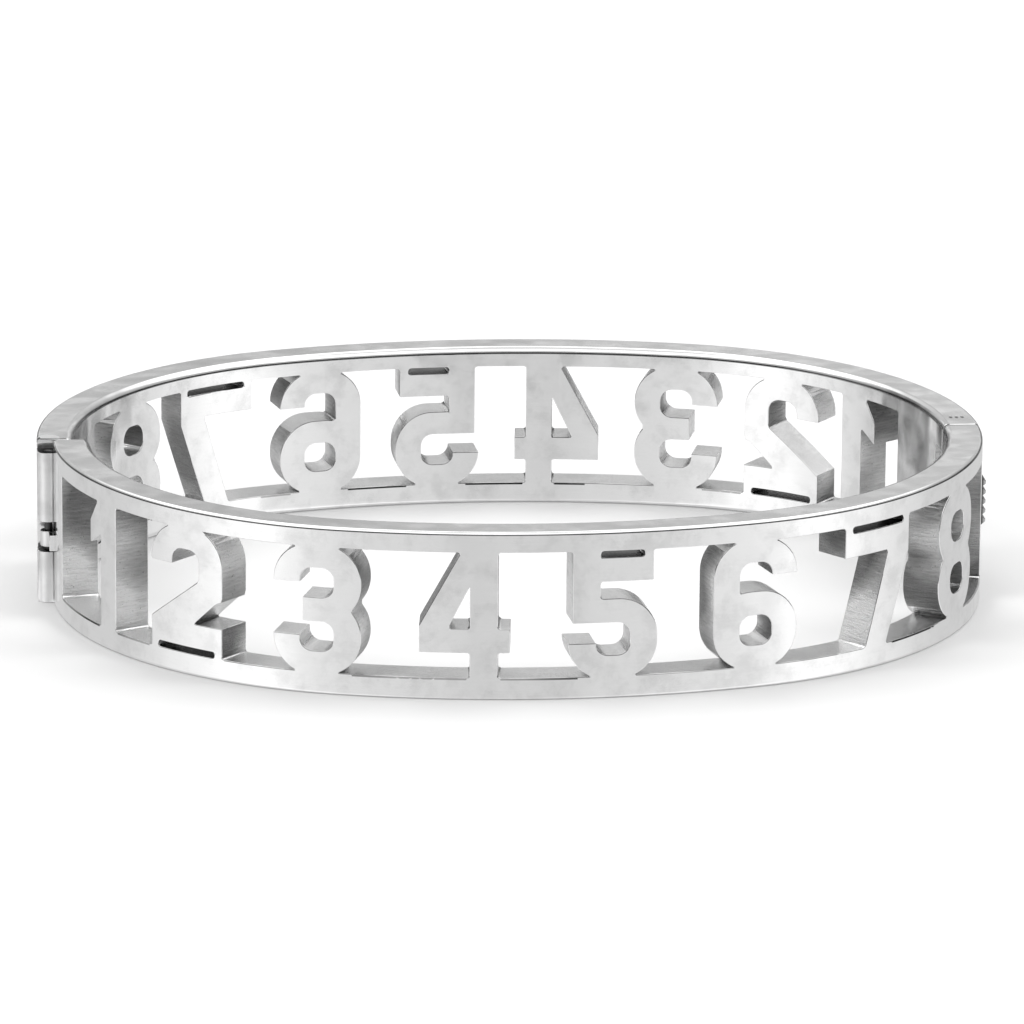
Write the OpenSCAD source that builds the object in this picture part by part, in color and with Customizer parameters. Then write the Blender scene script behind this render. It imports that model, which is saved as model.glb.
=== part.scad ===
// Hinged oval bangle, pierced with a row of plain numerals in each half.
// The long way of the oval is X: hinge at -X, clasp at +X. The front half is on
// the -Y side and the back half on the +Y side. The bottom rim lies at Z = 0.

/* [Oval] */
// Outside length of the oval, hinge to clasp
outer_len = 65; // [60:0.5:75]
// Outside width of the oval, front to back
outer_wid = 51.2; // [46:0.2:56]
// Height of the band
band_h = 11.5; // [10:0.1:14]
// Thickness of the band
wall = 2.55; // [2.4:0.05:3]
// Radius of the rounded inner edges
inner_round = 0.5; // [0.2:0.05:0.8]
// Width of the small bevel on the outer edges
outer_bevel = 0.12; // [0.05:0.01:0.3]
// Gap between the two halves where they meet
split_gap = 0.1; // [0.05:0.01:0.2]

/* [Openings] */
// Height of the plain rail above the openings
rail_top = 1.4; // [1:0.1:2]
// Height of the plain rail below the openings
rail_bottom = 1.5; // [1:0.1:2]
// Plain strip at the hinge end of the front half
front_hinge_strip = 4.4; // [3.5:0.1:8]
// Plain strip at the clasp end of the front half
front_clasp_strip = 3.8; // [3.4:0.1:8]
// Window next to each end strip of the front half
front_end_window = 5.8; // [3:0.1:7]
// Plain strip at the hinge end of the back half
back_hinge_strip = 10; // [8:0.1:12]
// Plain strip at the clasp end of the back half
back_clasp_strip = 10; // [8:0.1:12]
// Window next to each end strip of the back half
back_end_window = 3.4; // [2:0.1:6]

/* [Numerals] */
// Width of a numeral, the one apart
numeral_w = 6; // [5:0.1:6.6]
// Width of the one
one_w = 3.3; // [3:0.1:4.5]
// Width of the upright strokes
stem = 1.85; // [1.4:0.05:2]
// Height of the level strokes
bar = 1.65; // [1.2:0.05:1.8]
// Outside radius of the round corners
bowl_r = 2.6; // [2:0.1:2.8]
// Height of the slit between a level stroke and its rail
slit_h = 0.45; // [0.3:0.05:0.6]
// Length that ties a level stroke to its rail at each end of a slit
slit_tie = 0.6; // [0.4:0.1:1]
// How far a numeral's outline sinks into the rails
sink = 0.2; // [0.1:0.05:0.4]

/* [Hinge] */
// Outside radius of the back half's knuckles
knuckle_r = 0.74; // [0.7:0.02:0.9]
// Radius of the front half's knuckle
mid_knuckle_r = 0.55; // [0.5:0.01:0.6]
// Radius of the hinge pin
pin_r = 0.28; // [0.24:0.01:0.3]
// Radial clearance of the pin in the front half's knuckle
pin_play = 0.05; // [0.03:0.01:0.08]
// Distance of the pin's axis behind the meeting line
pin_back = 0.35; // [0.3:0.01:0.4]
// Distance of the front half's outer edge inside the pin's axis
edge_inset = 0.32; // [0.28:0.01:0.4]
// Height of the lower knuckle
lower_knuckle_h = 3.6; // [3:0.1:4]
// Height of the front half's knuckle
mid_knuckle_h = 1.1; // [1:0.1:3.2]
// Space below the front half's knuckle
knuckle_gap = 0.3; // [0.2:0.05:0.4]
// Space above the front half's knuckle, where the pin shows
pin_gap = 0.7; // [0.2:0.05:0.8]
// Height from the upper knuckle to the top rim
top_relief = 0.9; // [0.7:0.05:1.2]
// Thickness of the lip over the upper knuckle
lip = 0.3; // [0.2:0.05:0.4]

/* [Clasp] */
// Thickness of the clasp tongue
tongue_t = 1.2; // [1:0.05:1.3]
// Height of the clasp tongue
tongue_h = 7.4; // [6:0.1:8]
// Length of the tongue inside the back half
tongue_reach = 3.4; // [3:0.1:4]
// Length of the tongue seated in the front half
tongue_root = 2.2; // [1.5:0.1:2.4]
// Clearance round the tongue in the back half
tongue_play = 0.12; // [0.08:0.01:0.16]
// Clearance round the tongue's seat in the front half
seat_gap = 0.03; // [0.02:0.01:0.05]
// Height of the thumb button
button_h = 3.9; // [3:0.1:4.2]
// Length of the thumb button along the band
button_len = 2.2; // [1.8:0.1:2.4]
// How far the thumb button stands out past the end of the oval
button_proud = 0.7; // [0.5:0.05:1]
// Distance from the meeting line to the thumb button
button_start = 0.55; // [0.4:0.05:0.7]
// Number of ridges across the thumb button
ridges = 5; // [4:1:6]
// Depth of the grooves between the ridges
ridge_depth = 0.3; // [0.2:0.05:0.4]
// How far the button can be pressed
button_travel = 0.4; // [0.3:0.05:0.45]
// Clearance round the button
button_play = 0.1; // [0.08:0.01:0.14]

/* [Hidden] */
$fn = 96;
clear = 1;
numerals = 8;

half_len = outer_len / 2;
half_wid = outer_wid / 2;
window_top = band_h - rail_top;
window_h = window_top - rail_bottom;
half_gap = split_gap / 2;

// Hinge: the pin's axis lies just inside the back half's outer face.
flush = 0.02;
pin_x = -half_len + knuckle_r + flush;
pin_y = pin_back;
hinge_inset = knuckle_r + flush + edge_inset;
mid_z = lower_knuckle_h + knuckle_gap;
upper_z = mid_z + mid_knuckle_h + pin_gap;
upper_top = band_h - top_relief;
knuckle_space = 0.1;
swing_r = mid_knuckle_r + 0.13;

// Clasp: the tongue is part of a ring about the hinge pin, so it slides in its slot as the halves part.
tongue_inset = 0.08;
tongue_mid_r = half_len - wall / 2 - tongue_inset - pin_x;
tongue_z = (band_h - tongue_h) / 2;
button_z = (band_h - button_h) / 2;
button_end = button_start + button_len;
button_floor = pin_x + tongue_mid_r - tongue_t / 2 + 0.35;
button_base = button_floor + button_travel + 0.05;
button_top = half_len + button_proud;
window_back = 2.4;

// One half of the oval, of half length a, is three tangent arcs. The centres of the middle arc and
// of an end arc make a right triangle of 7, 24 and 25 parts, so the arcs meet on exact points.
function part_of(a) = (a - half_wid) / 6;
function end_r(a) = half_wid - part_of(a);
function end_x(a) = 7 * part_of(a);
function side_k(a) = 24 * part_of(a);
function side_r(a) = end_r(a) + 25 * part_of(a);
side_w = atan2(7, 24);
function end_len(a) = end_r(a) * (90 - side_w) * PI / 180;
function side_len(a) = 2 * side_r(a) * side_w * PI / 180;
function row_len(a) = 2 * end_len(a) + side_len(a);

// Direction of the outward normal at distance s along the outer face, from the half's left end.
function facing(a, s) =
    s < end_len(a) ? 180 + s / end_r(a) * 180 / PI
    : s < end_len(a) + side_len(a) ? 270 - side_w + (s - end_len(a)) / side_r(a) * 180 / PI
    : 270 + side_w + (s - end_len(a) - side_len(a)) / end_r(a) * 180 / PI;

// Point of the outer face at distance s.
function place(a, s) =
    let (f = facing(a, s))
    s < end_len(a) ? [end_r(a) * cos(f) - end_x(a), end_r(a) * sin(f)]
    : s < end_len(a) + side_len(a) ? [side_r(a) * cos(f), side_k(a) + side_r(a) * sin(f)]
    : [end_r(a) * cos(f) + end_x(a), end_r(a) * sin(f)];

// Widths along the row of numerals.
function width_of(i) = i == 0 ? one_w : numeral_w;
function widths_before(i) = i == 0 ? 0 : widths_before(i - 1) + width_of(i - 1);
function row_gap(row) = (row - widths_before(numerals)) / (numerals - 1);

// The whole part stands centred on its outside box.
module centred() {
    translate([-button_proud / 2, 0, 0]) children();
}

// Places a flat drawing on the outer face at distance s: x along the band, y up, drawn through the wall.
module through_wall(a, s) {
    p = place(a, s);
    translate([p.x, p.y, rail_bottom])
        rotate([0, 0, facing(a, s) + 90])
            rotate([90, 0, 0])
                translate([0, 0, -wall - 1.5]) linear_extrude(wall + 2.5) children();
}

module rounded(x0, y0, x1, y1, r) {
    translate([x0 + r, y0]) square([x1 - x0 - 2 * r, y1 - y0]);
    translate([x0, y0 + r]) square([x1 - x0, y1 - y0 - 2 * r]);
    for (x = [x0 + r, x1 - r], y = [y0 + r, y1 - r]) translate([x, y]) circle(r);
}

// A closed loop of stroke, the shape behind the round numerals.
module loop(x0, y0, x1, y1) {
    difference() {
        rounded(x0, y0, x1, y1, bowl_r);
        rounded(x0 + stem, y0 + bar, x1 - stem, y1 - bar, bowl_r - stem + 0.1);
    }
}

// The numerals stand between y = 0 and y = h, and sink a little into both rails.
module one(w, h) {
    translate([w - stem, -sink]) square([stem, h + 2 * sink]);
    polygon([[0, h - 3.1], [w - stem + 0.1, h - 2.1], [w - stem + 0.1, h + sink], [w - stem - 0.3, h + sink], [0, h - 1.5]]);
}

module two(w, h) {
    low = h * 0.42;
    difference() {
        loop(0, low - bar, w, h + sink);
        translate([-1, -1]) square([w - stem + 1, h - 2.6 + 1]);
        translate([-1, -1]) square([w + 2, low + 1.3]);
    }
    polygon([[w, low + 1.5], [w - stem, low + 1.5], [0, slit_h + bar], [0, slit_h + 0.4],
        [stem + 0.5, slit_h + 0.4], [w, low + 0.6]]);
    difference() {
        translate([0, -sink]) square([w, slit_h + bar + sink]);
        translate([slit_tie, 0]) square([w - 2 * slit_tie, slit_h]);
    }
}

module three(w, h) {
    difference() {
        eight(w, h);
        translate([-1, 2.5]) square([w * 0.34 + 1, h - 5]);
        translate([-1, 2.5]) square([w / 2 + 1, (h - bar) / 2 - 2.5]);
        translate([-1, (h + bar) / 2]) square([w / 2 + 1, (h - bar) / 2 - 2.5]);
    }
}

module four(w, h) {
    level = h * 0.2;
    difference() {
        polygon([[0, level + bar + 0.2], [w - stem - 1.3, h + sink], [w - 0.8, h + sink], [w - 0.8, level], [0, level]]);
        polygon([[1.9, level + bar], [w - stem - 0.8, level + bar], [w - stem - 0.8, h * 0.74]]);
    }
    translate([w - stem - 0.8, -sink]) square([stem, h]);
    translate([w - stem, level]) square([stem, bar]);
}

module five(w, h) {
    difference() {
        loop(0, -sink, w, h * 0.62);
        translate([-1, 2.3]) square([w / 2 + 1, h * 0.62 - bar - 2.3]);
        translate([-1, h * 0.62 - bowl_r]) square([bowl_r + 1, bowl_r + 1]);
    }
    translate([0.3, h * 0.62 - bar]) square([stem + 1, bar]);
    translate([0.3, h * 0.62 - bar]) square([stem, h * 0.38 + bar]);
    difference() {
        translate([0.3, h - slit_h - bar]) square([w - 0.6, slit_h + bar + sink]);
        translate([0.3 + slit_tie, h - slit_h]) square([w - 0.6 - 2 * slit_tie, slit_h]);
    }
}

module six(w, h) {
    difference() {
        loop(0, -sink, w, h + sink);
        translate([w / 2, h * 0.6 - bowl_r]) square([w, h * 0.4 + bowl_r - 2.4]);
    }
    loop(0, -sink, w, h * 0.6);
}

module seven(w, h) {
    difference() {
        translate([0, h - slit_h - bar]) square([w, slit_h + bar + sink]);
        translate([slit_tie, h - slit_h]) square([w - 2 * slit_tie, slit_h]);
    }
    polygon([[w - stem - 0.2, h - slit_h - bar + 0.1], [w, h - slit_h - bar + 0.1], [w, h - slit_h - bar - 0.4],
        [w * 0.3 + stem + 0.1, -sink], [w * 0.3, -sink]]);
}

module eight(w, h) {
    loop(0, -sink, w, (h + bar) / 2);
    loop(0, (h - bar) / 2, w, h + sink);
}

module numeral(i, w, h) {
    if (i == 0) one(w, h);
    if (i == 1) two(w, h);
    if (i == 2) three(w, h);
    if (i == 3) four(w, h);
    if (i == 4) five(w, h);
    if (i == 5) six(w, h);
    if (i == 6) seven(w, h);
    if (i == 7) eight(w, h);
}

// Section of the band at outside radius r from height z0 to z1: bevelled outside, rounded inside.
module section(r, z0, z1) {
    intersection() {
        union() {
            polygon([[r - wall + inner_round, 0], [r - outer_bevel, 0], [r, outer_bevel],
                [r, band_h - outer_bevel], [r - outer_bevel, band_h], [r - wall + inner_round, band_h]]);
            translate([r - wall, inner_round]) square([inner_round + 0.2, band_h - 2 * inner_round]);
            for (z = [inner_round, band_h - inner_round])
                translate([r - wall + inner_round, z]) circle(inner_round);
        }
        translate([r - wall - clear, z0]) square([wall + 2 * clear, z1 - z0]);
    }
}

// A point on the line through the centres of the middle arc and the left end arc, beyond the band.
function far_corner(a) = [-3 * end_x(a), -2 * side_k(a)];

// The left end arc, cut off along that line.
module end_arc(a, z0, z1) {
    intersection() {
        translate([-end_x(a), 0, 0]) rotate_extrude(start = 180, angle = 90) section(end_r(a), z0, z1);
        linear_extrude(band_h)
            polygon([[0, side_k(a)], far_corner(a), [-2 * a, far_corner(a).y], [-2 * a, side_k(a)]]);
    }
}

// All three arcs of one half on the -Y side, from height z0 to z1.
module half_ring(a, z0, z1) {
    end_arc(a, z0, z1);
    mirror([1, 0, 0]) end_arc(a, z0, z1);
    intersection() {
        translate([0, side_k(a), 0]) rotate_extrude(start = 240, angle = 60) section(side_r(a), z0, z1);
        linear_extrude(band_h) polygon([[0, side_k(a)], far_corner(a), [-far_corner(a).x, far_corner(a).y]]);
    }
}

// The plain strip at the left end, between the rails.
module end_strip(a, strip) {
    translate([-end_x(a), 0, 0])
        rotate_extrude(start = 180, angle = strip / end_r(a) * 180 / PI) section(end_r(a), rail_bottom, window_top);
}

module row(a, left_strip, right_strip, end_window) {
    gap = row_gap(row_len(a) - left_strip - right_strip - 2 * end_window);
    intersection() {
        half_ring(a, rail_bottom, window_top);
        for (i = [0 : numerals - 1])
            through_wall(a, left_strip + end_window + widths_before(i) + i * gap + width_of(i) / 2)
                translate([-width_of(i) / 2, 0]) numeral(i, width_of(i), window_h);
    }
}

// One pierced half on the -Y side, of half length a, ending at the meeting line.
module half_band(a, left_strip, right_strip, end_window) {
    difference() {
        union() {
            half_ring(a, 0, rail_bottom);
            half_ring(a, window_top, band_h);
            end_strip(a, left_strip);
            mirror([1, 0, 0]) end_strip(a, right_strip);
            row(a, left_strip, right_strip, end_window);
        }
        translate([-a - clear, -half_gap, -clear]) cube([2 * a + 2 * clear, 2 * clear, band_h + 2 * clear]);
    }
}

// Part of a ring about the hinge pin, from y0 to y1 at the clasp end.
module swing_sector(r0, r1, y0, y1, z0, z1) {
    a0 = asin((y0 - pin_y) / r1);
    a1 = asin((y1 - pin_y) / r1);
    translate([pin_x, pin_y, 0])
        rotate_extrude(start = a0, angle = a1 - a0) translate([r0, z0]) square([r1 - r0, z1 - z0]);
}

module tongue_space(gap, y0, y1) {
    swing_sector(tongue_mid_r - tongue_t / 2 - gap, tongue_mid_r + tongue_t / 2 + gap,
        y0, y1, tongue_z - gap, tongue_z + tongue_h + gap);
}

module at_pin(z0, z1, r) {
    translate([pin_x, pin_y, z0]) cylinder(h = z1 - z0, r = r);
}

// Block from the low corner to the high corner.
module block(low, high) {
    translate(low) cube(high - low);
}

module front_half() {
    color("silver") centred() {
        difference() {
            translate([hinge_inset / 2, 0, 0])
                half_band(half_len - hinge_inset / 2, front_hinge_strip, front_clasp_strip, front_end_window);
            at_pin(-clear, mid_z, knuckle_r + knuckle_space);
            at_pin(mid_z + mid_knuckle_h, band_h + clear, knuckle_r + knuckle_space);
            tongue_space(seat_gap, -tongue_root - seat_gap, clear);
        }
        difference() {
            union() {
                at_pin(mid_z, mid_z + mid_knuckle_h, mid_knuckle_r);
                block([pin_x, -1.3, mid_z], [pin_x + mid_knuckle_r + 0.07, pin_y, mid_z + mid_knuckle_h]);
            }
            at_pin(mid_z - clear, mid_z + mid_knuckle_h + clear, pin_r + pin_play);
        }
    }
}

module back_half() {
    color("silver") centred()
        difference() {
            union() {
                rotate([0, 0, 180]) half_band(half_len, back_clasp_strip, back_hinge_strip, back_end_window);
                at_pin(0, lower_knuckle_h, knuckle_r);
                at_pin(upper_z, upper_top, knuckle_r);
            }
            // Room for the front half's knuckle as it turns
            at_pin(lower_knuckle_h, upper_z, swing_r);
            block([-half_len - clear, -clear, lower_knuckle_h], [pin_x, pin_y + swing_r, upper_z]);
            block([pin_x - 0.1, -clear, lower_knuckle_h], [pin_x + swing_r, pin_y, upper_z]);
            // Shadow gap between the upper knuckle and the lip
            block([-half_len - clear, -clear, upper_top], [pin_x + knuckle_r, pin_y + knuckle_r, band_h - lip]);
            at_pin(-clear, upper_top + 0.1, pin_r + flush);
            // Box for the clasp tongue, open to the thumb button outside and to a notch inside
            tongue_space(tongue_play, -clear, tongue_reach + tongue_play);
            block([half_len - wall / 2, -clear, button_z - button_play],
                [half_len + clear, button_end + button_play, button_z + button_h + button_play]);
            block([half_len - wall - clear, -clear, tongue_z + clear], [half_len - wall / 2, window_back, tongue_z + tongue_h]);
        }
}

module hinge_pin() {
    color("gray") centred() at_pin(0.1, upper_top - 0.1, pin_r);
}

module clasp_tongue() {
    color("gray") centred()
        difference() {
            tongue_space(0, -tongue_root, tongue_reach);
            block([button_floor, button_start - button_play, button_z - button_play],
                [half_len + clear, button_end + button_play, button_z + button_h + button_play]);
        }
}

// The thumb button: its outer face is a row of ridges between two slanted ends.
module clasp_button() {
    end_slant = 0.25;
    pitch = (button_h - 2 * end_slant) / ridges;
    foot = button_top - ridge_depth;
    teeth = [for (i = [0 : ridges - 1]) each [
        [foot, button_z + end_slant + i * pitch],
        [button_top, button_z + end_slant + (i + 0.35) * pitch],
        [button_top, button_z + end_slant + (i + 0.65) * pitch]]];
    color("dimgray") centred()
        translate([0, button_end, 0]) rotate([90, 0, 0]) linear_extrude(button_len)
            polygon(concat(teeth, [[foot, button_z + button_h - end_slant], [foot - end_slant, button_z + button_h],
                [button_base, button_z + button_h], [button_base, button_z], [foot - end_slant, button_z]]));
}

front_half();
back_half();
hinge_pin();
clasp_tongue();
clasp_button();
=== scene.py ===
"""Looks of the hinged oval bangle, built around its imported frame.

Each half of the band is unrolled to a flat strip, dressed there, and rolled back to its oval.
"""

import math

import bmesh
import bpy
from mathutils import Matrix, Vector
from mathutils.bvhtree import BVHTree


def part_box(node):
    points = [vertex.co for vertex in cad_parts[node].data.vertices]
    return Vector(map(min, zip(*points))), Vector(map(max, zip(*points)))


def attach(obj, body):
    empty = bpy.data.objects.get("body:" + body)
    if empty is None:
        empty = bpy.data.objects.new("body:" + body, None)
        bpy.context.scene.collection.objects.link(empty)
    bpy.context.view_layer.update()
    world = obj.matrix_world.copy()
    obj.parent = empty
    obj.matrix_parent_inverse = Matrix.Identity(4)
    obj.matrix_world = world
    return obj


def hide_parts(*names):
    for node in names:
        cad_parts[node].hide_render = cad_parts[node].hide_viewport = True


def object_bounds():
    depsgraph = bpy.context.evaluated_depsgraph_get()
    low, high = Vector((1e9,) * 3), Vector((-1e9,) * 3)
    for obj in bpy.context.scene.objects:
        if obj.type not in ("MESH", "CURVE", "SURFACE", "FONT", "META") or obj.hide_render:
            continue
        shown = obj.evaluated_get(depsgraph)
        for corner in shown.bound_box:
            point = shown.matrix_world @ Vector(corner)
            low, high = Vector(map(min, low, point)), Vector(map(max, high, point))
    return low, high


MM = 0.001

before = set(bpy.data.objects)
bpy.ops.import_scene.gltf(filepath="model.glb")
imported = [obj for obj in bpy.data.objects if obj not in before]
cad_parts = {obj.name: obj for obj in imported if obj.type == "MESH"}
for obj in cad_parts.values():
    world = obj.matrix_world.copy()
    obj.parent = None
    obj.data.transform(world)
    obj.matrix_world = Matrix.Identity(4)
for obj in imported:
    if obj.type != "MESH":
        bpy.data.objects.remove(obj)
cad_low, cad_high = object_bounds()

# Sizes of the band, as the part has them
BAND_H = cad_high.z - cad_low.z
WALL = 2.55 * MM
INNER_ROUND = 0.5 * MM
OUTER_BEVEL = 0.12 * MM
HINGE_INSET = 1.08 * MM
RAIL_TOP = 1.4 * MM
RAIL_BOTTOM = 1.5 * MM

# The hinge's axis, how far its knuckles reach, and how far the painted shade in its crevices reaches
PIN_X, PIN_Y = [(a + b) / 2 for a, b in zip(*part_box("hinge_pin"))][:2]
KNUCKLE_R = 0.8 * MM
CREVICE_R = 0.71 * MM

# The clasp's end of the band, and how far the painted dark reflections on the inner face near it reach
CLASP_X = cad_high.x - 3 * MM
DARK_REFLECTION_R = 14 * MM

# Three small punched marks in the rim beside the clasp, dented in the bump, with painted shade in their
# colour
MARKS_X = [30.45 * MM, 30.85 * MM, 31.25 * MM]
MARKS_Y = 1.8 * MM
MARK_R = 0.13 * MM

# Walls closer than this face each other across a slit
NARROW = 0.6 * MM

# Depth of the button's grooves, over which their painted shade fades in
GROOVE = 0.3 * MM

# Softened edges of the band: radius, and steps of each rounding
OUTER_ROUND = 0.24 * MM
END_ROUND = 0.22 * MM
CORNER_R = 0.2 * MM
EDGE_R = 0.05 * MM
INNER_STEPS = 6
OUTER_STEPS = 5
END_STEPS = 3
CORNER_STEPS = 3
EDGE_STEPS = 2

# The pin's edges are softened less, because it is so thin
PIN_EDGE_R = 0.03 * MM

# Length at both ends of the strip that has no openings
END_ZONE = 2 * MM

# Points closer than this are one
MERGE = 0.002 * MM

# Faces that turn less than this lie in one plane
FLAT_TURN = math.radians(1)

# Edges that turn more than this are sharp, and are softened
SHARP = math.radians(32)

# Shading runs on across softened faces up to this turn
SOFT_TURN = math.radians(50)

# A face that turns more than this against a neighbour is a folded sliver
FOLDED = math.radians(90)

# Width of the slices that let the strip bend
SLICE = 0.5 * MM

# How much of a face's direction points one way, such as out of the strip, or up
SQUARELY = 0.95
NEARLY = 0.85
MOSTLY = 0.7
HARDLY = 0.3
SOMEWHAT = 0.2
A_LITTLE = 0.05

# Level cut walls keep most of the polish, upright ones are rough
LEVEL_CUT = 0.25

# The openings' lower edges get a painted dark reflection line, which lies just under this height
SILL = RAIL_BOTTOM - EDGE_R
SILL_LINE = 0.1 * MM

# Strength of that painted line, and of the painted dark reflection line under the top's rounded rims
SILL_PAINTED_DARK = 1.35
RIM_PAINTED_DARK = 1.0

# Camera, fitted to the photograph
VIEW_DISTANCE = 0.572
VIEW_ELEVATION = math.radians(15.6)
VIEW_TURN = math.radians(5.64)
VIEW_ROLL = math.radians(0.49)
FRAME_PX = 1024
FOCAL_PX = 8306
CENTRE_PX = 509.7
SENSOR_MM = 36
VIEW_END = 20

# Floor, a hair under the bottom rim
FLOOR_DROP = 0.02 * MM
FLOOR_REACH = 4
FLOOR_GREY = (0.52, 0.52, 0.52, 1)

# Lamps, which light the floor: place and power
LAMP_SIZE = 0.8
OVERHEAD = ((0, 0.15, 1.2), 6)
SIDES = [((-0.9, -0.1, 0.85), 8), ((0.9, -0.1, 0.85), 8)]


class Value:
    """A shader value that takes Python arithmetic: each step adds a Math node."""

    def __init__(self, paint, socket):
        self.paint = paint
        self.socket = socket

    def math(self, operation, *others):
        values = dict(enumerate([self, *others]))
        return self.paint.node("ShaderNodeMath", values, operation=operation)

    def __add__(self, other):
        return self.math("ADD", other)

    __radd__ = __add__

    def __mul__(self, other):
        return self.math("MULTIPLY", other)

    __rmul__ = __mul__

    def __sub__(self, other):
        return self.math("SUBTRACT", other)

    def __rsub__(self, other):
        return self.paint.node("ShaderNodeMath", {0: other, 1: self}, operation="SUBTRACT")

    def __truediv__(self, other):
        return self.math("DIVIDE", other)

    def __pow__(self, other):
        return self.math("POWER", other)

    def step(self, low, high):
        """0 below low, 1 above high, smooth between."""
        values = {"Value": self, "From Min": low, "From Max": high}
        return self.paint.node("ShaderNodeMapRange", values, interpolation_type="SMOOTHSTEP")


class Wiring:
    """Shader nodes of a material or of the world."""

    def __init__(self, tree):
        self.tree = tree

    def feed(self, node, values):
        for name, value in values.items():
            self.feed_socket(node.inputs[name], value)

    def feed_socket(self, socket, value):
        if isinstance(value, Value):
            self.tree.links.new(value.socket, socket)
        else:
            socket.default_value = value

    def node(self, kind, values=None, out=0, **settings):
        """Any node: its settings first, then the values or links of its sockets."""
        node = self.tree.nodes.new(kind)
        stops = settings.pop("stops", None)
        for name, value in settings.items():
            setattr(node, name, value)
        if stops:
            ramp = node.color_ramp
            ramp.elements.remove(ramp.elements[1])
            for count, (place, colour) in enumerate(stops):
                stop = ramp.elements.new(place) if count else ramp.elements[0]
                stop.position = place
                stop.color = (*colour, 1)
        self.feed(node, values or {})
        return Value(self, node.outputs[out])

    def part(self, vector, axis):
        return self.node("ShaderNodeSeparateXYZ", {"Vector": vector}, out=axis)

    def curve(self, value, stops):
        """A smooth curve through pairs of a place from 0 to 1 and a grey."""
        grey_stops = [(place, (grey, grey, grey)) for place, grey in stops]
        return self.node("ShaderNodeValToRGB", {"Fac": value}, out="Color", stops=grey_stops)

    def stretched(self, where, scale):
        return self.node("ShaderNodeMapping", {"Vector": where, "Scale": scale})

    def noise(self, where, scale, detail, roughness=0.5):
        values = {"Vector": where, "Scale": scale, "Detail": detail, "Roughness": roughness}
        return self.node("ShaderNodeTexNoise", values, out="Fac")

    def mix(self, share, a, b):
        """A colour mix. Its node has sockets of one name for each kind of value, and only one kind is on."""
        node = self.tree.nodes.new("ShaderNodeMix")
        node.data_type = "RGBA"
        for name, value in (("Factor", share), ("A", a), ("B", b)):
            sockets = [socket for socket in node.inputs if socket.name == name and socket.enabled]
            self.feed_socket(sockets[-1], value)
        return Value(self, [socket for socket in node.outputs if socket.enabled][0])


class Paint(Wiring):
    """A material in the making."""

    def __init__(self, name):
        self.material = bpy.data.materials.new(name)
        self.material.use_nodes = True
        super().__init__(self.material.node_tree)
        self.tree.nodes.clear()
        self.surface = self.tree.nodes.new("ShaderNodeBsdfPrincipled")
        output = self.tree.nodes.new("ShaderNodeOutputMaterial")
        self.tree.links.new(self.surface.outputs[0], output.inputs[0])

    def place(self):
        return self.node("ShaderNodeTexCoord", out="Object")

    def strip(self):
        return self.node("ShaderNodeUVMap", uv_map="strip")

    def distance(self, place, centre, narrowed=1.0):
        """How far a place is from an upright line, with distances along Y narrowed."""
        x, y = self.part(place, "X"), self.part(place, "Y")
        return ((x - centre[0]) ** 2 + ((y - centre[1]) * narrowed) ** 2) ** 0.5

    def mask(self, name):
        return self.node("ShaderNodeAttribute", out="Fac", attribute_name=name)

    def bump(self, height, distance, strength=1.0):
        return self.node("ShaderNodeBump", {"Height": height, "Distance": distance, "Strength": strength})

    def finish(self, **values):
        self.feed(self.surface, {name.replace("_", " "): value for name, value in values.items()})
        return self.material


class Half:
    """One half of the oval, three tangent arcs, and the flat strip that it unrolls to.

    The centres of an end arc and the side arc are 25 parts apart, 7 along the oval and 24 across it.
    Half of the oval's length is then 6 parts more than half of its width.
    """

    def __init__(self, half_length, half_width, middle_x, turned):
        part = (half_length - half_width) / 6
        end_r = half_width - part
        side_r = end_r + 25 * part
        spread = math.atan2(7, 24)
        end_length = end_r * (math.pi / 2 - spread)
        side_length = 2 * side_r * spread
        down = 1.5 * math.pi
        self.place = Matrix.Translation((middle_x, 0, 0))
        if turned:
            self.place @= Matrix.Rotation(math.pi, 4, "Z")
        self.unplace = self.place.inverted()
        self.middle = Vector((0, 24 * part, 0))
        self.spread = spread
        # Centre, outside radius, start angle and start length of each arc
        self.arcs = [
            (Vector((-7 * part, 0, 0)), end_r, math.pi, 0),
            (self.middle, side_r, down - spread, end_length),
            (Vector((7 * part, 0, 0)), end_r, down + spread, end_length + side_length),
        ]
        self.length = 2 * end_length + side_length

    def angle_about(self, centre, p):
        angle = math.atan2(p.y - centre.y, p.x - centre.x)
        return angle if angle > 0.5 * math.pi else angle + 2 * math.pi

    def unroll(self, p):
        """Distance along the outer face, depth under it, and height."""
        p = self.unplace @ p
        lean = self.angle_about(self.middle, p) - 1.5 * math.pi
        arc = 0 if lean < -self.spread else 2 if lean > self.spread else 1
        centre, radius, start, length = self.arcs[arc]
        depth = radius - (p.xy - centre.xy).length
        return Vector((length + radius * (self.angle_about(centre, p) - start), depth, p.z))

    def arc_at(self, q):
        """The centre and outside radius of the arc that a point of the strip lies on, and its angle."""
        arc = 0 if q.x < self.arcs[1][3] else 1 if q.x < self.arcs[2][3] else 2
        centre, radius, start, length = self.arcs[arc]
        return centre, radius, start + (q.x - length) / radius

    def roll(self, q):
        """The place on the oval of a point of the strip."""
        centre, radius, angle = self.arc_at(q)
        reach = radius - q.y
        p = centre + reach * Vector((math.cos(angle), math.sin(angle), 0))
        return self.place @ Vector((p.x, p.y, q.z))

    def roll_direction(self, q, direction):
        """A direction at a point of the strip, turned as the strip bends."""
        centre, radius, angle = self.arc_at(q)
        along = direction.x * radius / (radius - q.y)
        turned = Matrix.Rotation(angle, 3, "Z") @ Vector((-direction.y, along, direction.z))
        return (self.place.to_3x3() @ turned).normalized()


def merged_copy(node):
    """A bmesh of a CAD node's mesh, its loose triangles joined."""
    bm = bmesh.new()
    bm.from_mesh(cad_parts[node].data)
    bmesh.ops.remove_doubles(bm, verts=bm.verts[:], dist=MERGE)
    return bm


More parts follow.
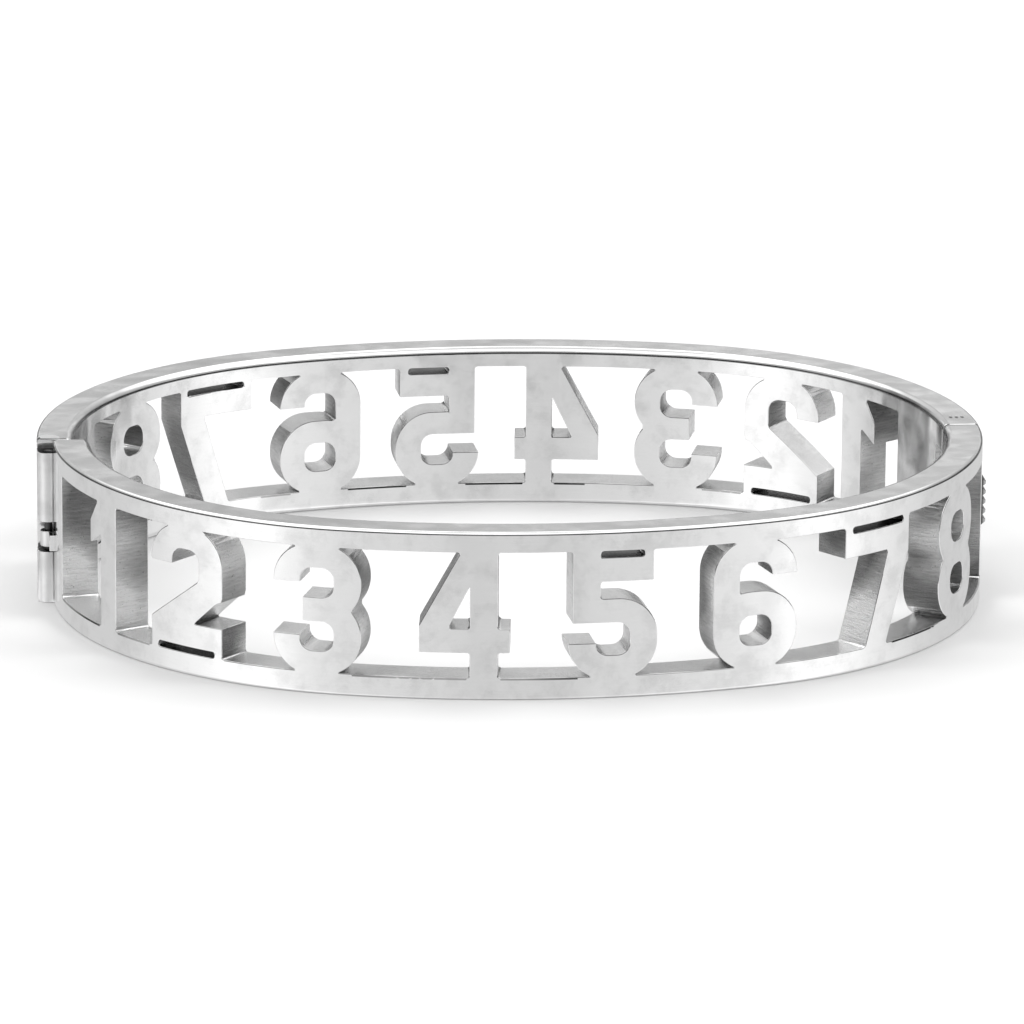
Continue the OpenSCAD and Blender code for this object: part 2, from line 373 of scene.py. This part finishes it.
def join_flats(bm):
    bmesh.ops.dissolve_limit(bm, angle_limit=FLAT_TURN, verts=bm.verts[:], edges=bm.edges[:])
    bmesh.ops.dissolve_degenerate(bm, dist=MERGE, edges=bm.edges[:])


def edge_bends(edge, convex):
    if len(edge.link_faces) != 2:
        return False
    return edge.calc_face_angle(0) > SHARP and edge.is_convex == convex


def soften(bm, edges, radius, steps):
    """Rounds the edges, and marks the faces that this makes."""
    soft = bm.faces.layers.int.get("soft") or bm.faces.layers.int.new("soft")
    made = bmesh.ops.bevel(bm, geom=edges, offset=radius, segments=steps, profile=0.5,
                           affect="EDGES", material=-1, clamp_overlap=False)
    for face in made["faces"]:
        face[soft] = 1


def square_rims(bm):
    """Takes the rounded inner rims and the bevelled outer rims back to corners.

    They are made anew in even steps later.
    """
    for vert in bm.verts:
        inside = vert.co.y - (WALL - INNER_ROUND)
        outside = OUTER_BEVEL - vert.co.y
        from_top = BAND_H - vert.co.z
        to_rim = min(from_top, vert.co.z)
        on_bevel = to_rim < OUTER_BEVEL + MERGE and outside + OUTER_BEVEL - to_rim > -MERGE
        if inside > MERGE and to_rim < INNER_ROUND - MERGE:
            vert.co.y = WALL
        elif outside > -MERGE and on_bevel:
            vert.co.y = 0
        else:
            continue
        vert.co.z = BAND_H if from_top < vert.co.z else 0
    bmesh.ops.remove_doubles(bm, verts=bm.verts[:], dist=MERGE)


def rim_edges(bm, depth):
    """The long edges at a depth, along the top and the bottom of the strip."""
    edges = []
    for edge in bm.edges:
        at_depth = all(abs(v.co.y - depth) < MERGE for v in edge.verts)
        on_rim = not any(MERGE < v.co.z < BAND_H - MERGE for v in edge.verts)
        if at_depth and on_rim and edge_bends(edge, convex=True):
            edges.append(edge)
    return edges


def end_edges(bm):
    """The edges across the top at both ends of the strip."""
    low = min(v.co.x for v in bm.verts)
    high = max(v.co.x for v in bm.verts)
    edges = []
    for edge in bm.edges:
        on_top = all(v.co.z > BAND_H - MERGE for v in edge.verts)
        at_end = all(min(v.co.x - low, high - v.co.x) < END_ZONE for v in edge.verts)
        across = abs(edge.verts[0].co.y - edge.verts[1].co.y) > 0.5 * WALL
        if on_top and at_end and across and edge_bends(edge, convex=True):
            edges.append(edge)
    return edges


def window_corners(bm):
    """The upright inside corners of the openings."""
    low, high = RAIL_BOTTOM - MERGE, BAND_H - RAIL_TOP + MERGE
    corners = []
    for edge in bm.edges:
        a, b = edge.verts
        run = b.co - a.co
        inside = low < a.co.z < high and low < b.co.z < high
        through = abs(run.y) > 0.9 * WALL and abs(run.z) < 0.1 * WALL
        if inside and through and edge_bends(edge, convex=False):
            corners.append(edge)
    return corners


def sharp_edges(bm):
    return [edge for edge in bm.edges if edge_bends(edge, convex=True)]


def cut_plane(bm, point, direction):
    geometry = bm.verts[:] + bm.edges[:] + bm.faces[:]
    bmesh.ops.bisect_plane(bm, geom=geometry, dist=MERGE / 4, plane_co=point, plane_no=direction)


def slice_along(bm, step):
    """Cuts the flat strip across, so that it can bend."""
    xs = [v.co.x for v in bm.verts]
    low = min(xs)
    count = math.ceil((max(xs) - low) / step)
    for i in range(1, count):
        cut_plane(bm, (low + i * step, 0, 0), (1, 0, 0))


def under_wide_opening(face, middle, soft, tree):
    """Whether a face lies right under the lower edge of an opening that is no slit."""
    beside = [other for edge in face.edges for other in edge.link_faces]
    at_sill = any(other[soft] and other.normal.z > SOMEWHAT for other in beside)
    above = Vector((middle.x, 0.5 * WALL, RAIL_BOTTOM + MERGE))
    return at_sill and not tree.ray_cast(above, Vector((0, 0, 1)), NARROW)[0]


def painted_line_strength(face, middle, soft, tree):
    """How dark a reflection line is painted on the face: under the top's rims, and round the openings' lower
    edges.
    """
    outward = abs(face.normal.y)
    up = face.normal.z
    if middle.z > BAND_H - INNER_ROUND and up > A_LITTLE and outward > SQUARELY:
        return RIM_PAINTED_DARK
    if SILL - SILL_LINE < middle.z < SILL and outward > SQUARELY:
        return SILL_PAINTED_DARK if under_wide_opening(face, middle, soft, tree) else 0.0
    between_rails = SILL < middle.z < BAND_H - RAIL_TOP + EDGE_R
    whole = all(edge.calc_face_angle(0) < FOLDED for edge in face.edges)
    if face[soft] and whole and between_rails and up > SOMEWHAT and outward > NEARLY:
        return SILL_PAINTED_DARK
    return 0.0


def mark_strip(bm, half):
    """Marks kinds of faces, and lays the strip's length and height out as a UV map.

    The marks are the cut walls, the gaps and crevices that get painted shade, the inner face, and the
    painted dark reflection lines.
    """
    cut = bm.faces.layers.float.new("cut")
    painted_gap_shade = bm.faces.layers.float.new("painted_gap_shade")
    line = bm.faces.layers.float.new("line")
    inside = bm.faces.layers.float.new("inside")
    soft = bm.faces.layers.int["soft"]
    strip = bm.loops.layers.uv.new("strip")
    tree = BVHTree.FromBMesh(bm)
    axis = Vector((PIN_X, PIN_Y))
    for face in bm.faces:
        middle = face.calc_center_median()
        normal = face.normal
        level = abs(normal.z) > MOSTLY
        between_rails = SILL < middle.z < BAND_H - RAIL_TOP + EDGE_R
        in_openings = min(middle.x, half.length - middle.x) > END_ZONE
        # Painted dark reflection lines under the top's rims and along the openings' lower edges
        face[line] = painted_line_strength(face, middle, soft, tree)
        if middle.y > WALL - INNER_ROUND and normal.y > MOSTLY:
            face[inside] = 1.0
        if abs(normal.y) < HARDLY and between_rails and in_openings:
            face[cut] = LEVEL_CUT if level else 1.0
            # Walls that face each other across a slit get painted shade
            wall, facing, _, _ = tree.ray_cast(middle + normal * MERGE, normal, NARROW)
            if wall and facing.dot(normal) < -SQUARELY:
                face[painted_gap_shade] = 1.0
        elif level and MERGE < middle.z < BAND_H - MERGE:
            # Level faces in the hinge's crevices get painted shade
            if (half.roll(middle).xy - axis).length < CREVICE_R:
                face[painted_gap_shade] = 1.0
        for loop in face.loops:
            across = loop.vert.co.y if face[cut] else loop.vert.co.z
            along = loop.vert.co.x if level or not face[cut] else loop.vert.co.z
            loop[strip].uv = (along / WALL, across / WALL)


def corner_direction(loop, soft):
    """Where the surface faces at one corner.

    Flat faces stay flat, and rounded edges turn between them.
    """
    limit = math.cos(SOFT_TURN if loop.face[soft] else SHARP)
    near = [c for c in loop.vert.link_loops if c.face.normal.dot(loop.face.normal) > limit]
    plain = [c for c in near if not c.face[soft]]
    total = Vector()
    for corner in plain or near:
        total += corner.face.normal * corner.calc_angle()
    return total.normalized() if total.length > 0 else loop.face.normal


def rolled_mesh(name, bm, half):
    """The strip bent to its half of the oval, with the directions of its corners kept."""
    soft = bm.faces.layers.int["soft"]
    directions = []
    for face in bm.faces:
        face.smooth = True
        for loop in face.loops:
            directions.append(half.roll_direction(loop.vert.co, corner_direction(loop, soft)))
    for vert in bm.verts:
        vert.co = half.roll(vert.co)
    mesh = bpy.data.meshes.new(name)
    bm.to_mesh(mesh)
    bm.free()
    mesh.normals_split_custom_set(directions)
    return mesh


def dressed(name, mesh, material, body, node):
    """A piece of the object, which takes the place of its CAD node."""
    mesh.materials.append(material)
    piece = bpy.data.objects.new(name, mesh)
    bpy.context.scene.collection.objects.link(piece)
    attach(piece, body)
    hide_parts(node)
    return piece


def band_half(name, node, body, half, material):
    """A half of the band with softened edges, marked for its material."""
    bm = merged_copy(node)
    for vert in bm.verts:
        vert.co = half.unroll(vert.co)
    square_rims(bm)
    join_flats(bm)
    soften(bm, window_corners(bm), CORNER_R, CORNER_STEPS)
    soften(bm, rim_edges(bm, WALL), INNER_ROUND, INNER_STEPS)
    soften(bm, rim_edges(bm, 0), OUTER_ROUND, OUTER_STEPS)
    soften(bm, end_edges(bm), END_ROUND, END_STEPS)
    soften(bm, sharp_edges(bm), EDGE_R, EDGE_STEPS)
    # Slices come before triangles, so that no wrong triangle reaches far along the strip
    slice_along(bm, SLICE)
    bmesh.ops.triangulate(bm, faces=[face for face in bm.faces if len(face.verts) > 4])
    for height in (SILL - SILL_LINE, SILL):
        cut_plane(bm, (0, 0, height), (0, 0, 1))
    bm.normal_update()
    mark_strip(bm, half)
    return dressed(name, rolled_mesh(name, bm, half), material, body, node)


def small_part(name, node, body, material, radius):
    """A CAD node's shape with softened edges."""
    bm = merged_copy(node)
    join_flats(bm)
    soften(bm, sharp_edges(bm), radius, EDGE_STEPS)
    for face in bm.faces:
        face.smooth = True
    for edge in bm.edges:
        edge.smooth = not (len(edge.link_faces) == 2 and edge.calc_face_angle(0) > SHARP)
    mesh = bpy.data.meshes.new(name)
    bm.to_mesh(mesh)
    bm.free()
    piece = dressed(name, mesh, material, body, node)
    weighted = piece.modifiers.new("even shading", "WEIGHTED_NORMAL")
    weighted.keep_sharp = True
    return piece


def band_steel():
    """Polished steel, a little uneven and smudged, with rough walls where the openings were cut, and with
    painted shade and painted dark reflections.
    """
    paint = Paint("band_steel")
    place = paint.place()
    strip = paint.strip()

    # Masks of places on the band
    cut = paint.mask("cut")
    polished = 1 - cut
    knuckle = 1 - paint.distance(place, (PIN_X, PIN_Y)).step(KNUCKLE_R, KNUCKLE_R + 0.1 * MM)
    near_clasp = 1 - paint.distance(place, (CLASP_X, 0)).step(0.6 * DARK_REFLECTION_R, DARK_REFLECTION_R)
    marks = 0
    for mark_x in MARKS_X:
        marks = marks + 1 - paint.distance(place, (mark_x, MARKS_Y), 0.4).step(0.6 * MARK_R, MARK_R)

    # Unevenness of the polish, the saw's stripes on the cut walls, and the blots and breaks of the painted
    # dark reflections
    waves = paint.noise(place, scale=170, detail=2)
    smudges = paint.noise(place, scale=520, detail=4, roughness=0.6).step(0.42, 0.7)
    clouds = paint.noise(place, scale=190, detail=2)
    grain = paint.noise(paint.stretched(strip, (0.5, 14, 1)), scale=2, detail=4, roughness=0.6)
    stripes = paint.noise(paint.stretched(strip, (10, 1.2, 1)), scale=1.6, detail=5, roughness=0.75)
    pits = paint.noise(place, scale=6500, detail=3, roughness=0.6)
    patches = paint.noise(place, scale=150, detail=1)
    reflection_blots = paint.noise(paint.stretched(place, (1, 1, 0.5)), scale=420, detail=2).step(0.36, 0.7)
    breaks_in_painted_line = paint.noise(place, scale=60, detail=1).step(0.4, 0.55)

    skin = 0.94 - 0.07 * clouds - 0.09 * smudges - 0.05 * grain
    wall = paint.curve(patches, [(0.38, 0.24), (0.5, 0.6), (0.58, 1)]) * (0.3 + 1.4 * stripes)

    # Painted shade in gaps, crevices and punched marks, painted dark reflection lines, and painted dark
    # reflections inside the clasp's end
    line = paint.mask("line") * (0.45 + 0.55 * breaks_in_painted_line)
    shade = (0.9 * paint.mask("painted_gap_shade")).math("MAXIMUM", 0.7 * marks).math("MAXIMUM", 0.7 * line)
    painted_clasp_reflection = paint.mask("inside") * near_clasp * (0.26 + 0.34 * reflection_blots)
    light = 1 - shade.math("MAXIMUM", painted_clasp_reflection)

    polish_height = polished * (1.4 * waves + 0.005 * grain - 0.4 * marks)
    wall_height = cut ** 2 * (4 * stripes + 1.1 * pits)
    polish_roughness = polished * (0.11 + 0.08 * smudges + 0.04 * grain + 0.2 * knuckle)
    wall_roughness = cut * (0.22 + 0.16 * pits)
    return paint.finish(
        Base_Color=paint.mix(cut, skin * light, wall * light),
        Metallic=1.0,
        Roughness=polish_roughness + wall_roughness,
        Normal=paint.bump(polish_height + wall_height, 0.1 * MM),
    )


def plain_steel(name, grey, roughness, edge_x=None):
    """Steel of the small parts; left of edge_x, where given, it lies in the grooves and gets painted shade.
    """
    paint = Paint(name)
    place = paint.place()
    grain = paint.noise(paint.stretched(place, (400, 400, 4000)), scale=1, detail=3)
    tone = grey * (0.9 + 0.1 * paint.noise(place, scale=900, detail=2))
    if edge_x:
        # Painted shade in the grooves, fading in towards the crest
        ridge = paint.part(place, "X").step(edge_x - GROOVE, edge_x - 0.3 * GROOVE)
        tone = tone * (0.12 + 0.88 * ridge)
    return paint.finish(
        Base_Color=tone,
        Metallic=1.0,
        Roughness=roughness + 0.15 * grain,
        Normal=paint.bump(grain, 0.01 * MM, 0.4),
    )


def build_camera():
    data = bpy.data.cameras.new("camera")
    data.sensor_width = SENSOR_MM
    data.lens = FOCAL_PX / FRAME_PX * SENSOR_MM
    data.shift_x = (FRAME_PX / 2 - CENTRE_PX) / FRAME_PX
    data.clip_end = VIEW_END
    camera = bpy.data.objects.new("camera", data)
    low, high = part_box("back_half")
    middle = Vector(((low.x + high.x) / 2, 0, BAND_H / 2))
    level = VIEW_DISTANCE * math.cos(VIEW_ELEVATION)
    height = VIEW_DISTANCE * math.sin(VIEW_ELEVATION)
    offset = Vector((-level * math.sin(VIEW_TURN), -level * math.cos(VIEW_TURN), height))
    camera.location = middle + offset
    aim = (-offset).to_track_quat("-Z", "Y").to_matrix().to_4x4()
    camera.matrix_world = Matrix.Translation(camera.location) @ aim @ Matrix.Rotation(VIEW_ROLL, 4, "Z")
    bpy.context.scene.collection.objects.link(camera)
    bpy.context.scene.camera = camera


def build_floor():
    bm = bmesh.new()
    bmesh.ops.create_grid(bm, x_segments=1, y_segments=1, size=FLOOR_REACH)
    mesh = bpy.data.meshes.new("floor")
    bm.to_mesh(mesh)
    bm.free()
    floor = bpy.data.objects.new("floor", mesh)
    floor.location.z = -FLOOR_DROP
    floor.visible_glossy = False
    bpy.context.scene.collection.objects.link(floor)
    paint = Paint("floor_white")
    mesh.materials.append(paint.finish(Base_Color=FLOOR_GREY, Roughness=0.6))


def soft_light(name, place, power):
    """A square lamp that faces the object. It lights the floor alone: the metal mirrors only the world."""
    data = bpy.data.lights.new(name, "AREA")
    data.shape = "SQUARE"
    data.size = LAMP_SIZE
    data.energy = power
    lamp = bpy.data.objects.new(name, data)
    lamp.location = place
    lamp.rotation_euler = (-Vector(place)).to_track_quat("-Z", "Y").to_euler()
    lamp.visible_camera = False
    lamp.visible_glossy = False
    bpy.context.scene.collection.objects.link(lamp)


def build_world():
    """Soft studio walls: a dark gap at the horizon, wide in front, and two bright sides below it."""
    world = bpy.data.worlds.new("studio")
    world.use_nodes = True
    world.cycles.sampling_method = "NONE"
    bpy.context.scene.world = world
    studio = Wiring(world.node_tree)
    direction = studio.node("ShaderNodeTexCoord", out="Generated")
    x, y, z = [studio.part(direction, axis) for axis in "XYZ"]
    forward = 0.5 - 0.5 * y / (x * x + y * y + 0.0001) ** 0.5

    # Below the horizon, from behind the object to the camera's side
    below = 1.2 * studio.curve(forward, [
        (0, 0.56), (0.3, 0.58), (0.45, 0.7), (0.62, 0.86), (0.72, 1), (0.82, 1),
        (0.9, 0.76), (0.96, 0.66), (0.99, 0.64), (0.995, 0.56), (1, 0.6),
    ])

    # Above it, from the horizon up: straight behind the object, and all round
    panels = studio.curve(5 * x, [
        (0.2, 1), (0.27, 0.8), (0.34, 0.78), (0.42, 0.9), (0.5, 0.96), (0.56, 0.9), (0.65, 1),
    ])
    behind = panels * studio.curve(z, [
        (0, 0.03), (0.08, 0.15), (0.235, 0.5), (0.25, 0.47), (0.262, 0.32), (0.275, 0.26),
        (0.29, 0.29), (0.5, 0.42), (0.72, 1), (0.9, 1), (0.97, 0.45),
    ])
    around = studio.curve(z, [
        (0, 0.015), (0.17, 0.02), (0.27, 0.22), (0.5, 0.32), (0.72, 1), (0.9, 1), (0.97, 0.45),
    ])
    above = 1.8 * studio.mix(forward.step(0.02, 0.16), behind, around)

    background = world.node_tree.nodes["Background"]
    studio.feed(background, {"Color": studio.mix(z.step(-0.13, -0.06), below, above)})


def build_light():
    build_world()
    soft_light("overhead", *OVERHEAD)
    for place, power in SIDES:
        soft_light("side", place, power)
    bpy.context.scene.view_settings.view_transform = "Standard"


def build_bangle():
    low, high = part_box("back_half")
    half_width = high.y
    half_length = (high.x - low.x) / 2
    middle_x = (high.x + low.x) / 2
    back = Half(half_length, half_width, middle_x, turned=True)
    front = Half(half_length - HINGE_INSET / 2, half_width, middle_x + HINGE_INSET / 2, turned=False)
    steel = band_steel()
    band_half("band_front", "front_half", "front", front, steel)
    band_half("band_back", "back_half", "back", back, steel)

    pin_steel = plain_steel("pin_steel", grey=0.1, roughness=0.3)
    tongue_steel = plain_steel("tongue_steel", grey=0.55, roughness=0.3)
    ridge_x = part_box("clasp_button")[1].x
    button_steel = plain_steel("button_steel", grey=0.6, roughness=0.15, edge_x=ridge_x)
    small_part("pin", "hinge_pin", "back", pin_steel, PIN_EDGE_R)
    small_part("tongue", "clasp_tongue", "front", tongue_steel, EDGE_R)
    small_part("button", "clasp_button", "button", button_steel, EDGE_R)


build_camera()
build_floor()
build_light()
build_bangle()
